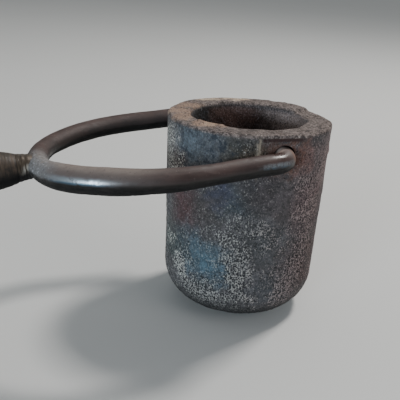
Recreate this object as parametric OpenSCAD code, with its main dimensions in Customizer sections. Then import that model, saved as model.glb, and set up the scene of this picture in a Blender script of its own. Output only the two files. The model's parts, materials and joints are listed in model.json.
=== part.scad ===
/* [Pot] */
// Height of the pot
pot_h = 92.5; // [88:0.5:98]
// Outer diameter at the rim
rim_d = 76; // [75.5:0.1:76.5]
// Outer diameter that the tapered wall would have at the resting surface
base_d = 71.5; // [68:0.5:72]
// Radius of the rounded bottom corner
corner_r = 18.9; // [14:0.1:22]
// Wall thickness at the rim
rim_wall = 12; // [11.5:0.1:13]
// Thickness of the floor
floor_t = 12.5; // [9:0.5:16]
// Diameter of the cavity at the floor, before its corner is rounded
cavity_low_d = 48; // [44:0.5:50]
// Radius of the cavity's bottom corner
cavity_corner_r = 16; // [8:0.5:20]
// Bevel on both edges of the rim
rim_bevel = 1.2; // [0.5:0.1:2]

/* [Trunnion holes] */
// Height of the hinge axis, which is the axis of the fork's two pins
axis_z = 83; // [81:0.1:84]
// Diameter of the blind hole on each side
hole_d = 10; // [10:0.1:10.8]
// Depth of each hole from its flat pad
hole_depth = 8.5; // [8.2:0.1:9]
// Play under the pin, where it rests in its hole
rest_play = 0.15; // [0.1:0.01:0.3]
// Distance of the flat pads from the pot's axis
pad_y = 36.7; // [36.5:0.1:37]
// Height at which the pads start
pad_low_z = 73; // [70:0.5:76]

/* [Fork] */
// Diameter of the round rod
rod_d = 9.2; // [8.8:0.1:9.4]
// Centreline radius of the bend between a pin and its arm
elbow_r = 5.2; // [5:0.1:6]
// Distance from the pot's axis at which the bend starts
elbow_y = 37.5; // [37.5:0.1:38.5]
// Length of a pin's straight stretch
pin_l = 8.7; // [8.2:0.1:8.9]
// Angle by which the straight part of an arm spreads
splay = 1.7; // [0.5:0.1:4]
// Centreline radius of the bow that brings an arm in towards the crotch
bow_r = 63.5; // [58:0.5:70]
// Angle by which an arm closes in where its bow meets the crotch
bow_end = 46; // [40:1:52]
// Distance from the hinge axis to the centreline of the crotch
reach = 97.3; // [92:0.1:102]
// Angle of the fork below level at rest
droop = 5.3; // [3:0.1:8]

/* [Handle] */
// Diameter of the tang's shoulder, brazed to the crotch
shoulder_d = 8; // [7.5:0.1:8.4]
// Diameter of the tang through the grip
tang_d = 6; // [5:0.5:6.5]
// Diameter of the brazed collar against the rod
braze_d = 10.5; // [10:0.1:10.8]
// Length of the ferrule
ferrule_l = 19; // [17:0.5:24]
// Largest diameter of the ferrule
ferrule_d = 18; // [17.5:0.1:19]
// Length of the wooden grip behind the ferrule
grip_l = 112; // [90:1:130]
// Largest diameter of the grip
grip_d = 25.4; // [23:0.1:28]
// Diameter of the grip's waist, near its end
waist_d = 20.6; // [19:0.1:22]
// Diameter of the burr, the washer under the peened end of the tang
burr_d = 14; // [12:0.5:16]
// Thickness of the burr
burr_t = 2; // [1.5:0.1:3]

/* [Hidden] */
$fn = 96;

// Gap left between pieces that are brazed, driven or pressed together
joint_gap = 0.05;
// How far a hammered knuckle, where two curves of the rod meet, stands out of the rod
knuckle_swell = 0.15;
// Length by which a stretch of the rod stops short inside its knuckle
knuckle_inset = 0.4;
// Length of the hammered band where the straight arm meets its bow
band_l = 2.4;
// Overlap that lets a cutting shape pass through a face
cut = 1;

// Pot: radii at the rim and at the resting surface, and the wall's draft angle
rim_r = rim_d / 2;
base_r = base_d / 2;
draft = atan((rim_r - base_r) / pot_h);
cavity_rim_r = rim_r - rim_wall;
cavity_low_r = cavity_low_d / 2;
cavity_draft = atan((cavity_rim_r - cavity_low_r) / (pot_h - floor_t));
hole_z = axis_z - rod_d / 2 - rest_play + hole_d / 2;

// Fork: u runs from the hinge axis to the handle and v from the pot's axis to one arm
rod_r = rod_d / 2;
elbow_end = [elbow_r * (1 - sin(splay)), elbow_y + elbow_r * cos(splay)];
bow_step = bow_r * [sin(splay) + sin(bow_end), cos(bow_end) - cos(splay)];
// How far the crotch reaches behind its start, for each unit of its start's distance from the axis
crotch_share = (1 - sin(bow_end)) / cos(bow_end);
// Reach that the fork would have if its arms had no straight part
short_reach = elbow_end.x + bow_step.x + (elbow_end.y + bow_step.y) * crotch_share;
arm_l = (reach - short_reach) / (cos(splay) + sin(splay) * crotch_share);
bow_start = elbow_end + arm_l * [cos(splay), sin(splay)];
bow_centre = bow_start + bow_r * [sin(splay), -cos(splay)];
crotch_start = bow_start + bow_step;
crotch_r = crotch_start.y / cos(bow_end);
crotch_u = reach - crotch_r;

// How far the brazed collar laps onto the crotch, and its length behind it
braze_lap = rod_r - 2.2;
braze_l = 3.6;
// How far the collar widens towards the ferrule
braze_flare = 0.2;
// How far the tang's shoulder goes into the ferrule
shoulder_inset = 2;
// Peened head of the tang: its height, and how far it stands out over the tang
head_h = 1.8;
head_lip = 1.2;

// Ferrule: shares of its length at which the cone ends and the band starts
cone_share = 0.7;
band_share = 0.74;
// Ferrule: height of the small end over the collar, and of the band over the cone
mouth_lip = 0.3;
band_lip = 0.4;
// Ferrule: length of its solid small end, the socket's room round the tang, and the wall's thickness
ferrule_web = 2.2;
socket_room = 0.7;
ferrule_wall = 1.4;
cone_wall = 1.6;

// Grip: shares of its length at which the belly is widest, the waist is thinnest and the dome starts
belly_share = 0.4;
waist_share = 0.82;
dome_share = 0.92;
// Grip: how far the shoulder stands out over the ferrule, and how far the end widens behind the waist
neck_lip = 0.8;
end_swell = 0.9;
// Clearance of the grip's nose in the ferrule
nose_gap = 0.1;
// Ledge round the burr, and the burr's own bevel
burr_seat = 0.5;
burr_bevel = 0.5;

// Handle: stations along u
crotch_face = reach + rod_r;
braze_start = crotch_face - braze_lap;
ferrule_start = crotch_face + braze_l;
shoulder_end = ferrule_start + shoulder_inset;
ferrule_end = ferrule_start + ferrule_l;
grip_end = ferrule_end + grip_l;
tang_end = grip_end + joint_gap + burr_t;

// Centre, as [radius, height], of a circle of radius r that touches the height low and a wall
// that has the radius wall_r at the height foot and leans outward by the angle lean
function corner_centre(r, low, wall_r, foot, lean) =
    [wall_r + (low + r - foot) * tan(lean) - r / cos(lean), low + r];

// Point where that circle meets the wall
function corner_touch(centre, r, lean) = centre + r * [cos(lean), -sin(lean)];

// Half of a cup's section: a rounded bottom corner under a straight wall that leans outward
module cup_section(r, low, wall_r, foot, lean, top, top_r) {
    centre = corner_centre(r, low, wall_r, foot, lean);
    touch = corner_touch(centre, r, lean);
    polygon([[0, low], [centre.x, low], centre, touch, [top_r, top], [0, top]]);
    intersection() {
        translate(centre)
            circle(r = r);
        translate([0, low - cut])
            square([wall_r + r, centre.y - low + 2 * cut]);
    }
}

// Ring that bevels an edge of the rim; side is 1 for the outer edge and -1 for the inner one
module rim_bevel_ring(edge_r, side) {
    rotate_extrude()
        polygon([
            [edge_r - side * (rim_bevel + cut), pot_h + cut],
            [edge_r + side * cut, pot_h + cut],
            [edge_r + side * cut, pot_h - rim_bevel - cut]
        ]);
}

// Cast pot with two flat pads and a blind trunnion hole in each
module pot() {
    color([0.27, 0.27, 0.28])
        difference() {
            rotate_extrude()
                cup_section(corner_r, 0, base_r, 0, draft, pot_h, rim_r);
            rotate_extrude()
                cup_section(cavity_corner_r, floor_t, cavity_low_r, floor_t, cavity_draft,
                    pot_h + cut, cavity_rim_r + cut * tan(cavity_draft));
            rim_bevel_ring(rim_r, 1);
            rim_bevel_ring(cavity_rim_r, -1);
            for (side = [-1, 1])
                scale([1, side, 1]) {
                    translate([-rim_r, pad_y, pad_low_z])
                        cube([rim_d, rim_r, pot_h]);
                    translate([0, pad_y - hole_depth, hole_z])
                        rotate([-90, 0, 0])
                            cylinder(h = hole_depth + cut, d = hole_d);
                }
        }
}

// Places a shape that is drawn along u and v into the fork's drooping plane
module in_fork_plane() {
    translate([0, 0, axis_z])
        rotate([0, -droop, 0])
            rotate([0, 0, 180])
                children();
}

// Stretch of round rod of radius r, bent to a centreline radius, from one angle to another
module rod_arc(centre, radius, from_angle, to_angle, r) {
    translate(centre)
        rotate([0, 0, from_angle])
            rotate_extrude(angle = to_angle - from_angle)
                translate([radius, 0])
                    circle(r = r);
}

// Angle that the knuckle's inset covers on a curve of a given centreline radius
function inset_angle(radius) = knuckle_inset / radius * 180 / PI;

// Bend at the handle end of the fork
module crotch(r) {
    half_angle = 90 - bow_end - inset_angle(crotch_r);
    rod_arc([crotch_u, 0], crotch_r, -half_angle, half_angle, r);
}

// Rounded swelling, with its poles along the rod, that joins two curves of the rod
module knuckle(position, direction) {
    translate(position)
        rotate([0, 90, direction])
            sphere(r = rod_r + knuckle_swell);
}

// Hammered band where the straight arm meets its bow
module band() {
    translate(bow_start)
        rotate([0, 90, splay])
            translate([0, 0, -band_l / 2])
                cylinder(h = band_l, r = rod_r + knuckle_swell);
}

// Pin, bend, straight arm and bow of one side
module arm() {
    bow_inset = inset_angle(bow_r);
    translate([0, elbow_y - pin_l, 0])
        rotate([-90, 0, 0])
            cylinder(h = pin_l, r = rod_r);
    rod_arc([elbow_r, elbow_y], elbow_r, 180, 90 + splay + inset_angle(elbow_r), rod_r);
    knuckle(elbow_end, splay);
    translate(elbow_end)
        rotate([0, 90, splay])
            translate([0, 0, knuckle_inset])
                cylinder(h = arm_l - 2 * knuckle_inset, r = rod_r);
    band();
    rod_arc(bow_centre, bow_r, 90 - bow_end + bow_inset, 90 + splay - bow_inset, rod_r);
    knuckle(crotch_start, -bow_end);
}

// Fork bent from one round rod, whose ends turn inward as the hinge pins
module yoke() {
    color([0.30, 0.27, 0.25])
        in_fork_plane() {
            crotch(rod_r);
            arm();
            mirror([0, 1, 0])
                arm();
        }
}

// Turns a section of [distance along u, radius] points about the handle's axis
module turned(points) {
    in_fork_plane()
        rotate([0, 90, 0])
            rotate_extrude()
                polygon([for (p = points) [p.y, p.x]]);
}

// Rod that holds the handle together, from the crotch to its peened end
module tang() {
    shoulder_r = shoulder_d / 2;
    tang_r = tang_d / 2;
    head_r = tang_r + head_lip;
    color([0.36, 0.34, 0.32])
        difference() {
            turned([
                [reach, 0], [reach, shoulder_r], [shoulder_end, shoulder_r],
                [shoulder_end, tang_r], [tang_end, tang_r], [tang_end, head_r],
                [tang_end + head_h / 2, head_r], [tang_end + head_h, tang_r], [tang_end + head_h, 0]
            ]);
            in_fork_plane()
                crotch(rod_r + joint_gap);
        }
}

// Collar of brazing metal round the joint of the tang and the crotch
module braze_fillet() {
    outer_r = braze_d / 2;
    bore_r = shoulder_d / 2 + joint_gap;
    face = ferrule_start - joint_gap;
    color([0.45, 0.37, 0.26])
        difference() {
            turned([
                [braze_start, bore_r], [braze_start, outer_r],
                [face, outer_r + braze_flare], [face, bore_r]
            ]);
            in_fork_plane()
                crotch(rod_r + joint_gap);
        }
}

// Thin flared ferrule, outside: distance behind its small end and radius
function ferrule_outside() = [
    [0, braze_d / 2 + mouth_lip],
    [ferrule_l * cone_share, ferrule_d / 2 - band_lip],
    [ferrule_l * band_share, ferrule_d / 2],
    [ferrule_l, ferrule_d / 2]
];

// Socket in the ferrule, which the grip's nose fills: distance behind the small end and radius
function socket(clearance) = [
    [ferrule_web + clearance, shoulder_d / 2 + socket_room - clearance],
    [ferrule_l * cone_share, ferrule_d / 2 - cone_wall - clearance],
    [ferrule_l, ferrule_d / 2 - ferrule_wall - clearance]
];

// Moves a list of [distance, radius] points along u
function moved(points, distance) = [for (p = points) [p.x + distance, p.y]];

// A list of points from its last to its first
function reversed(points) = [for (i = [len(points) - 1:-1:0]) points[i]];

// Flared ferrule between the brazed joint and the grip
module ferrule() {
    bore_r = shoulder_d / 2 + joint_gap;
    color([0.40, 0.33, 0.25])
        turned(moved(concat(
            [[0, bore_r]],
            ferrule_outside(),
            reversed(socket(0)),
            [[ferrule_web, bore_r]]
        ), ferrule_start));
}

// Radius of the turned grip at the share t of its length: a belly and then a waist
function grip_radius(t) =
    let (
        neck = ferrule_d / 2 + neck_lip,
        belly = grip_d / 2,
        waist = waist_d / 2,
        fall = (t - belly_share) / (waist_share - belly_share),
        swell = (t - waist_share) / (dome_share - waist_share)
    )
    t < belly_share ? neck + (belly - neck) * sin(t / belly_share * 90)
    : t < waist_share ? waist + (belly - waist) * (1 + cos(fall * 180)) / 2
    : waist + end_swell * sin(swell * 90);

// Turned wooden grip with a tapered nose, a domed end and a bore for the tang
module grip() {
    bore_r = tang_d / 2 + joint_gap;
    dome_l = grip_l * (1 - dome_share);
    dome_r = grip_radius(dome_share);
    seat_r = burr_d / 2 + burr_seat;
    profile_steps = 23;
    dome_steps = 6;
    body = [for (i = [0:profile_steps])
        let (t = dome_share * i / profile_steps)
        [ferrule_end + joint_gap + t * (grip_l - joint_gap), grip_radius(t)]];
    dome = [for (i = [1:dome_steps])
        let (a = 90 * i / dome_steps)
        [grip_end - dome_l * (1 - sin(a)), seat_r + (dome_r - seat_r) * cos(a)]];
    nose = moved(socket(nose_gap), ferrule_start);
    color([0.46, 0.30, 0.17])
        turned(concat(
            [[nose[0].x, bore_r]],
            nose,
            [[ferrule_end + joint_gap, nose[2].y]],
            body,
            dome,
            [[grip_end, bore_r]]
        ));
}

// Washer that the tang is peened over
module burr() {
    near = grip_end + joint_gap;
    far = tang_end - joint_gap;
    bore_r = tang_d / 2 + joint_gap;
    color([0.42, 0.40, 0.38])
        turned([
            [near, bore_r], [near, burr_d / 2], [far - burr_bevel, burr_d / 2],
            [far, burr_d / 2 - burr_bevel], [far, bore_r]
        ]);
}

pot();
yoke();
tang();
braze_fillet();
ferrule();
grip();
burr();
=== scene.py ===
import json
from math import atan2, cos, degrees, pi, radians, sin, tan
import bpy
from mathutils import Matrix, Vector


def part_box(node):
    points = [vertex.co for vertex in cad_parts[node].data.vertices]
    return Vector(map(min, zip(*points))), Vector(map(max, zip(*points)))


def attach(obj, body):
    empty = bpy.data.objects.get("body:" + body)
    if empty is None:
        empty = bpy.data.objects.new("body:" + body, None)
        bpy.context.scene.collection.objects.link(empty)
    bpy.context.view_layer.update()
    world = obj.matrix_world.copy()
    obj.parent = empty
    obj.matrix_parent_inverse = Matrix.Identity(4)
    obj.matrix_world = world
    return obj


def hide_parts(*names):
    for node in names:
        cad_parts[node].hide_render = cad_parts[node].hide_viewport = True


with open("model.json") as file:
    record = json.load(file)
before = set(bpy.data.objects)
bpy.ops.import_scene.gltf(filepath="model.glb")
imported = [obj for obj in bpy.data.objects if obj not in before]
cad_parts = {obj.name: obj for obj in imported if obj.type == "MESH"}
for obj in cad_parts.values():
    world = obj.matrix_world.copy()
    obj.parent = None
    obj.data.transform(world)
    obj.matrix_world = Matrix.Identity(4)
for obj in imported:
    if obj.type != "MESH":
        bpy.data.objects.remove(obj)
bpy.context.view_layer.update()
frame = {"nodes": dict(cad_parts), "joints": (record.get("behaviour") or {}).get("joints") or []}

from types import SimpleNamespace

import bmesh
import bpy
import numpy as np
from mathutils import Matrix, Vector

MM = 0.001
TURN = 2 * pi

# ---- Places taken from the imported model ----

HINGE = np.array(frame["joints"][0]["pos_m"], float)
POT_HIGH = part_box("pot")[1]
RIM_R = POT_HIGH.x
POT_H = POT_HIGH.z
RIM_Z = POT_H / MM


def handle_droop():
    """Angle of the handle below level, from the hinge to the middle of the burr."""
    low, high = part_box("burr")
    middle = (low + high) / 2
    return atan2(HINGE[2] - middle.z, -middle.x)


DROOP = handle_droop()
ALONG = np.array([-cos(DROOP), 0.0, -sin(DROOP)])
ACROSS = np.array([0.0, 1.0, 0.0])
ABOVE = np.array([-sin(DROOP), 0.0, cos(DROOP)])


def station(node):
    """Start and end of a CAD node along the handle, from the hinge, and its radius."""
    points = np.array([v.co for v in frame["nodes"][node].data.vertices], float) - HINGE
    u = points @ ALONG
    radius = np.hypot(points @ ACROSS, points @ ABOVE).max()
    return u.min(), u.max(), radius


def fork_points(u, v, w):
    """Points of the fork's frame: u along the handle, v along the hinge axis, w above the fork."""
    u, v, w = (np.asarray(a, float)[..., None] for a in (u, v, w))
    return HINGE + u * ALONG + v * ACROSS + w * ABOVE


# ---- Numbers, noise and outlines ----

def smooth(low, high, value):
    """0 below low, 1 above high and a smooth step between them; low may be above high."""
    t = np.clip((value - low) / (high - low), 0.0, 1.0)
    return t * t * (3.0 - 2.0 * t)


def window(low, high, soft, value):
    """1 between low and high, with soft ends outside them."""
    return smooth(low - soft, low, value) * smooth(high + soft, high, value)


def angle_between(angle, centre):
    """Signed difference of two angles in degrees, from -180 to 180."""
    return (angle - centre + 180.0) % 360.0 - 180.0


NOISE_CELLS = 32


def noise(points, size, seed):
    """Smooth random values from -1 to 1 at an array of points, with features of the given size."""
    table = np.random.RandomState(seed).uniform(-1.0, 1.0, (NOISE_CELLS,) * 3)
    q = points / size + 7.31 * seed
    cell = np.floor(q).astype(int)
    f = q - cell
    f = f * f * (3.0 - 2.0 * f)
    total = np.zeros(points.shape[:-1])
    for corner in np.ndindex(2, 2, 2):
        index = (cell + corner) % NOISE_CELLS
        weight = np.ones(points.shape[:-1])
        for axis in range(3):
            weight = weight * (f[..., axis] if corner[axis] else 1.0 - f[..., axis])
        total += weight * table[index[..., 0], index[..., 1], index[..., 2]]
    return total


def layered_noise(points, size, seed, layers=3):
    """Noise with finer and weaker layers on top."""
    total = np.zeros(points.shape[:-1])
    for i in range(layers):
        total += noise(points, size / 2.1 ** i, seed + i) / 1.8 ** i
    return total


def arc(centre, radius, start, end, count=24):
    """Points of an arc in a section; the angles are in degrees."""
    a = np.radians(np.linspace(start, end, count))
    return np.stack([centre[0] + radius * np.cos(a), centre[1] + radius * np.sin(a)], -1)


def resampled(points, spacing):
    """The same line with points at an even spacing."""
    steps = np.linalg.norm(np.diff(points, axis=0), axis=1)
    run = np.concatenate([[0.0], np.cumsum(steps)])
    count = max(2, int(round(run[-1] / spacing)) + 1)
    at = np.linspace(0.0, run[-1], count)
    return np.stack([np.interp(at, run, points[:, k]) for k in range(points.shape[1])], -1)


# ---- Meshes ----

def linked(name, data):
    """A new object in the scene, from a mesh, a camera or a light."""
    new = bpy.data.objects.new(name, data)
    bpy.context.scene.collection.objects.link(new)
    return new


def ring_mesh(name, rings):
    """A solid with closed ends through an array of rings of points."""
    rows, around = rings.shape[:2]
    ends = np.stack([rings[0].mean(0), rings[-1].mean(0)])
    vertices = np.concatenate([rings.reshape(-1, 3), ends])
    first = np.arange(around)
    second = (first + 1) % around
    faces = []
    for row in range(rows - 1):
        here, there = row * around, (row + 1) * around
        faces.append(np.stack([here + first, here + second, there + second, there + first], -1))
    faces = np.concatenate(faces).tolist()
    last = (rows - 1) * around
    faces += np.stack([second, first, np.full(around, rows * around)], -1).tolist()
    faces += np.stack([last + first, last + second, np.full(around, rows * around + 1)], -1).tolist()
    mesh = bpy.data.meshes.new(name)
    mesh.from_pydata(vertices.tolist(), [], faces)
    mesh.update()
    turn_outward(mesh)
    shade(mesh)
    return linked(name, mesh)


def shade(mesh, sharp_from=60.0):
    """Smooth shading, with sharp edges only where faces meet at a large angle."""
    for polygon in mesh.polygons:
        polygon.use_smooth = True
    mesh.set_sharp_from_angle(angle=radians(sharp_from))


def turn_outward(mesh):
    """Turns all faces of a mesh outward."""
    work = bmesh.new()
    work.from_mesh(mesh)
    bmesh.ops.recalc_face_normals(work, faces=work.faces)
    work.to_mesh(mesh)
    work.free()


def grid_normals(rings):
    """Unit normals of a ring grid, from its neighbours."""
    around = np.roll(rings, -1, axis=1) - np.roll(rings, 1, axis=1)
    along = np.gradient(rings, axis=0)
    n = np.cross(along, around)
    length = np.linalg.norm(n, axis=-1, keepdims=True)
    return n / np.maximum(length, 1e-12)


# ---- Pot ----

SECTION_START_R = 2 * MM
WALL_FOOT_R = RIM_R - 2.25 * MM
CORNER_R = 18.9 * MM
RIM_WALL = 12.0 * MM
FLOOR_T = 12.5 * MM
CAVITY_LOW_R = 24.0 * MM
CAVITY_CORNER_R = 16.0 * MM
RIM_OUTER_ROUND = 1.5 * MM
RIM_INNER_ROUND = 2.2 * MM
HOLE_R = 5.0 * MM
PIN_R = 4.6 * MM
PIN_GAP = 0.15 * MM
HOLE_Z = HINGE[2] - PIN_R - PIN_GAP + HOLE_R
HOLE_DEPTH = 8.5 * MM
PAD_Y = 36.7 * MM
PAD_LOW_Z = 73.0 * MM
POT_AROUND = 560


def wall_corner(radius, low, foot_r, foot_z, draft):
    """Centre of the circle that rounds the corner between a floor and a leaning wall."""
    return foot_r + (low + radius - foot_z) * tan(draft) - radius / cos(draft), low + radius


def pot_section():
    """Section of the pot: from the middle of its base, over the rim, to its floor."""
    draft = atan2(RIM_R - WALL_FOOT_R, POT_H)
    lean = degrees(draft)
    outer = wall_corner(CORNER_R, 0.0, WALL_FOOT_R, 0.0, draft)
    mouth_r = RIM_R - RIM_WALL
    in_draft = atan2(mouth_r - CAVITY_LOW_R, POT_H - FLOOR_T)
    inner = wall_corner(CAVITY_CORNER_R, FLOOR_T, CAVITY_LOW_R, FLOOR_T, in_draft)
    low_part = np.concatenate([[(SECTION_START_R, 0.0)], arc(outer, CORNER_R, -90, -lean)])
    rim_out = arc((RIM_R - RIM_OUTER_ROUND, POT_H - RIM_OUTER_ROUND), RIM_OUTER_ROUND, -lean, 90, 8)
    rim_in = arc((mouth_r + RIM_INNER_ROUND, POT_H - RIM_INNER_ROUND), RIM_INNER_ROUND, 90, 180, 8)
    inside = arc(inner, CAVITY_CORNER_R, 0, -90)
    floor_end = [(SECTION_START_R, FLOOR_T)]
    fine, coarse = 0.42 * MM, 0.9 * MM
    outside = resampled(np.concatenate([low_part, rim_out, rim_in]), fine)
    upper_inside = resampled(np.array([rim_in[-1], rim_in[-1] * 0.6 + inside[0] * 0.4]), fine)
    lower_inside = resampled(np.concatenate([upper_inside[-1:], inside, floor_end]), coarse)
    return np.concatenate([outside, upper_inside[1:], lower_inside[1:]])


def rim_drop(angle):
    """How far the worn rim lies under its full height, at each angle in degrees."""
    a = np.radians(angle)
    waves = 0.15 * np.sin(2 * a + 0.6) + 0.12 * np.sin(5 * a + 2.0) + 0.10 * np.sin(11 * a + 0.3)
    from_right = angle_between(angle, 0)
    broken = smooth(18.0, 13.0, from_right) * smooth(-32.0, -8.0, from_right)
    return (waves - 0.15 + 1.1 * broken) * MM


def worn_rim(p, angle, radius):
    """Wears the rim: an uneven height, a chipped mouth and a rounded lump on the left."""
    near_rim = smooth(POT_H - 9 * MM, POT_H - 1 * MM, p[..., 2])
    p[..., 2] -= near_rim * rim_drop(angle)
    lump = window(197, 220, 3, angle) * smooth(5 * MM, 0.0, np.abs(radius - 29.6 * MM))
    p[..., 2] += near_rim * lump * 0.9 * MM
    mouth = smooth(RIM_R - 7 * MM, RIM_R - RIM_WALL, radius) * smooth(POT_H - 12 * MM, POT_H, p[..., 2])
    chips = 0.8 + 0.7 * np.sin(np.radians(4 * angle + 50)) + 0.5 * np.sin(np.radians(9 * angle))
    left_side = 1.2 * window(140, 190, 20, angle)
    grow = 1.0 + mouth * (0.5 * chips + left_side) * MM / radius
    p[..., 0] *= grow
    p[..., 1] *= grow
    return p


def flat_pads(p):
    """Cuts a filed flat round each trunnion hole; the front one is filed slightly askew."""
    for side, askew in ((-1, 4.0), (1, 0.0)):
        a = radians(side * 90 - askew)
        normal = np.array([cos(a), sin(a)])
        limit = normal[1] * side * PAD_Y
        depth = smooth(PAD_LOW_Z, PAD_LOW_Z + 2 * MM, p[..., 2])
        over = p[..., :2] @ normal - limit
        cut = 0.5 * (over + np.sqrt(over ** 2 + (0.25 * MM) ** 2)) * depth
        cut = np.where(over > -3 * MM, cut, 0.0)
        p[..., :2] -= cut[..., None] * normal
    return p


def surface_relief(p, angle, radius):
    """Height of the cast skin above the smooth section: waves, lumps, grains, pits and drips."""
    p, radius = p / MM, radius / MM
    height = p[..., 2]
    edge = RIM_R / MM
    outside = smooth(edge - 4, edge - 2, radius + 2 * (height < CORNER_R / MM))
    waves = 0.22 * noise(p, 19, 3) + 0.12 * noise(p, 7, 5)
    grains = layered_noise(p, 1.5, 11, 2)
    pits = -np.clip(noise(p, 2.3, 21) - 0.45, 0.0, 1.0)
    at_rim = smooth(RIM_Z - 3, RIM_Z - 1, height)
    rough = 0.55 + 0.45 * smooth(70, 35, height) + 0.25 * at_rim
    rough = rough * (1.0 - 0.9 * window(199, 219, 4, angle) * window(27, 31.5, 1, radius) * at_rim)
    flakes = np.clip(noise(p * [1, 1, 0.6], 4.5, 31) - 0.25, 0.0, 0.25)
    relief = waves + rough * (0.11 * grains + 0.45 * pits) + 0.5 * flakes
    drip_angle = 251.4 + 0.7 * np.sin(height / 3.0)
    drip = smooth(1.2, 0.2, np.abs(angle_between(angle, drip_angle)))
    relief = relief + 0.45 * drip * window(77, 90, 1.5, height) * outside
    groove = smooth(0.75, 0.25, np.abs(height - 90.8))
    relief = relief - 0.55 * groove * window(255, 279, 3, angle) * outside
    above_ledge = height - 79.6 - 0.35 * np.sin(np.radians(angle * 6))
    ledge = smooth(-1.0, 0.2, above_ledge) * smooth(3.5, 0.4, above_ledge)
    return (relief + 0.3 * ledge * window(281, 325, 6, angle) * outside) * MM


def pot_points():
    section = pot_section()
    a = np.linspace(0.0, TURN, POT_AROUND, endpoint=False)
    p = np.empty((len(section), POT_AROUND, 3))
    p[..., 0] = section[:, :1] * np.cos(a)
    p[..., 1] = section[:, :1] * np.sin(a)
    p[..., 2] = section[:, 1:]
    angle = np.degrees(np.arctan2(p[..., 1], p[..., 0])) % 360.0
    radius = np.hypot(p[..., 0], p[..., 1])
    p = worn_rim(p, angle, radius)
    p = flat_pads(p)
    normals = grid_normals(p)
    in_base = 5
    if normals[in_base, 0, 2] > 0:
        normals = -normals
    relief = surface_relief(p, angle, radius)
    to_hole = np.hypot(p[..., 0], p[..., 2] - HOLE_Z)
    at_mouth = smooth(HOLE_R + 1.3 * MM, HOLE_R, to_hole) * (radius > RIM_R - 5 * MM)
    relief -= at_mouth * 0.35 * MM
    fade = smooth(0.0, 3.0 * MM, p[..., 2])
    p = p + normals * (relief * fade)[..., None]
    p[..., 2] = np.maximum(p[..., 2], 0.0)
    return p


def drill_holes(piece):
    """Drills the two blind trunnion holes."""
    drill = bpy.data.meshes.new("drill")
    work = bmesh.new()
    length = 14 * MM
    for side in (-1, 1):
        place = Matrix.Translation((0, side * (PAD_Y - HOLE_DEPTH + length / 2), HOLE_Z))
        turn = Matrix.Rotation(pi / 2, 4, "X")
        bmesh.ops.create_cone(work, cap_ends=True, segments=96, radius1=HOLE_R, radius2=HOLE_R,
                              depth=length, matrix=place @ turn)
    work.to_mesh(drill)
    work.free()
    tool = linked("drill", drill)
    cut = piece.modifiers.new("holes", "BOOLEAN")
    cut.object = tool
    cut.operation = "DIFFERENCE"
    cut.solver = "EXACT"
    graph = bpy.context.evaluated_depsgraph_get()
    mesh = bpy.data.meshes.new_from_object(piece.evaluated_get(graph))
    piece.modifiers.clear()
    old = piece.data
    piece.data = mesh
    bpy.data.meshes.remove(old)
    bpy.data.objects.remove(tool)
    bpy.data.meshes.remove(drill)
    shade(piece.data)


def make_pot():
    piece = ring_mesh("cast_pot", pot_points())
    drill_holes(piece)
    return piece


# ---- Fork ----

PIN_TIP_V = 29.0 * MM
ELBOW_V = 35.3 * MM
ELBOW_BEND_R = 7.4 * MM
ARM_SPLAY = radians(1.7)
BOW_R = 63.5 * MM
BOW_END = radians(46)
CROTCH_U = 97.3 * MM
FORK_AROUND = 60
# Shares of the way from a pin's tip to the crotch, and what the rod does there, in mm
RISE_SHARES = (0.0, 0.12, 0.18, 0.40, 0.65, 0.82, 1.0)
RISES = (0.0, 0.0, 0.28, 0.28, 0.65, 0.25, -0.40)
RADIUS_SHARES = (0.0, 0.04, 0.07, 0.11, 0.20, 0.35, 0.50, 0.66, 0.84, 1.0)
FRONT_RADII = (4.62, 4.60, 4.38, 4.36, 4.40, 4.28, 4.85, 5.60, 5.50, 4.60)
BACK_RADII = (4.62, 4.60, 4.38, 4.40, 4.60, 4.66, 4.66, 4.62, 4.48, 4.60)


def half_fork_route():
    """Centreline of one arm as (u, v): pin, bend, straight arm, bow and half of the crotch."""
    pin = np.array([(0.0, PIN_TIP_V), (0.0, ELBOW_V)])
    outward, inward = degrees(ARM_SPLAY), degrees(BOW_END)
    bend = arc((ELBOW_BEND_R, ELBOW_V), ELBOW_BEND_R, 180, 90 + outward, 16)
    direction = np.array([cos(ARM_SPLAY), sin(ARM_SPLAY)])
    bow_step = BOW_R * np.array([sin(ARM_SPLAY) + sin(BOW_END), cos(BOW_END) - cos(ARM_SPLAY)])
    crotch_share = (1 - sin(BOW_END)) / cos(BOW_END)
    short = bend[-1] + bow_step
    missing = CROTCH_U - short[0] - short[1] * crotch_share
    bow_start = bend[-1] + missing / (direction[0] + direction[1] * crotch_share) * direction
    bow = arc(bow_start + BOW_R * np.array([direction[1], -direction[0]]), BOW_R,
              90 + outward, 90 - inward, 40)
    crotch_r = bow[-1][1] / cos(BOW_END)
    crotch = arc((CROTCH_U - crotch_r, 0.0), crotch_r, 90 - inward, 0, 40)
    return np.concatenate([pin, bend[1:], bow, crotch[1:]])


def softened(values, passes=12):
    """Rounds off the corners of a row of values."""
    for _ in range(passes):
        padded = np.concatenate([values[:1], values, values[-1:]])
        values = (padded[:-2] + 2 * padded[1:-1] + padded[2:]) / 4
    return values


def fork_route():
    """Centreline (u, v, w) and radius of the whole fork, from the front pin to the back one."""
    half = resampled(half_fork_route(), 0.6 * MM)
    share = np.linspace(0.0, 1.0, len(half))
    rise = softened(np.interp(share, RISE_SHARES, RISES) * MM)
    front = np.column_stack([half * [1, -1], rise, np.interp(share, RADIUS_SHARES, FRONT_RADII) * MM])
    back = np.column_stack([half, rise, np.interp(share, RADIUS_SHARES, BACK_RADII) * MM])
    route = np.concatenate([front, back[-2::-1]])
    tip = np.minimum(np.arange(len(route)), np.arange(len(route))[::-1]) * 0.6 * MM
    radius = softened(route[:, 3]) * np.sqrt(np.clip(0.55 + 0.45 * tip / (1.2 * MM), 0.0, 1.0))
    return route[:, :3], radius


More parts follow.
